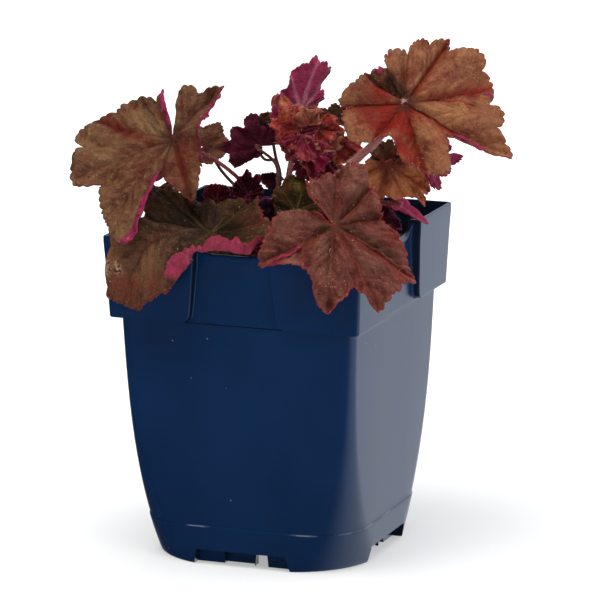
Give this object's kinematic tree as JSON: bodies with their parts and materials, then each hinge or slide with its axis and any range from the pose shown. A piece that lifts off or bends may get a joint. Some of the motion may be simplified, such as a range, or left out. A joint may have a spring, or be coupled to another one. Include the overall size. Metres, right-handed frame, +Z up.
{
  "type": "potted coral bells",
  "caption": "Coral bells plant with bronze, olive and magenta lobed leaves on thin stems, growing in soil in a blue square plastic nursery pot with a deep collar.",
  "frame": {"origin": "middle of the whole part's footprint, at the height of the pot's feet", "axes": "+Z up; the pot's sides are square to X and Y, and the leaf at the front right leans towards +X and -Y"},
  "size_m": [0.1761, 0.127, 0.2113],
  "materials": {
    "pot_blue": "semi-gloss",
    "soil_brown": "matte",
    "crown_brown": "matte",
    "leaf_bronze": "satin",
    "leaf_olive": "satin",
    "leaf_rose": "satin",
    "leaf_russet": "satin",
    "leaf_magenta": "satin",
    "leaf_maroon": "satin"
  },
  "bodies": {
    "root": {"pot": "pot_blue", "soil": "soil_brown", "crown": "crown_brown", "leaf_left_high": "leaf_bronze", "leaf_right_high": "leaf_bronze", "leaf_left_low": "leaf_olive", "leaf_front": "leaf_rose", "leaf_upright": "leaf_magenta", "leaf_dark_magenta": "leaf_maroon", "leaf_behind_left": "leaf_olive", "leaf_ruffled": "leaf_russet", "leaf_small_olive": "leaf_olive", "leaf_below_right": "leaf_russet", "leaf_pink_back": "leaf_magenta", "leaf_crimson_tip": "leaf_magenta", "leaf_olive_inner": "leaf_olive", "leaf_purple_low": "leaf_maroon", "leaf_maroon_inner": "leaf_maroon", "leaf_young": "leaf_maroon", "leaf_red_curl": "leaf_maroon", "leaf_back_low": "leaf_olive", "leaf_back_right": "leaf_maroon", "flower_stalk": "leaf_maroon"}
  },
  "joints": []
}
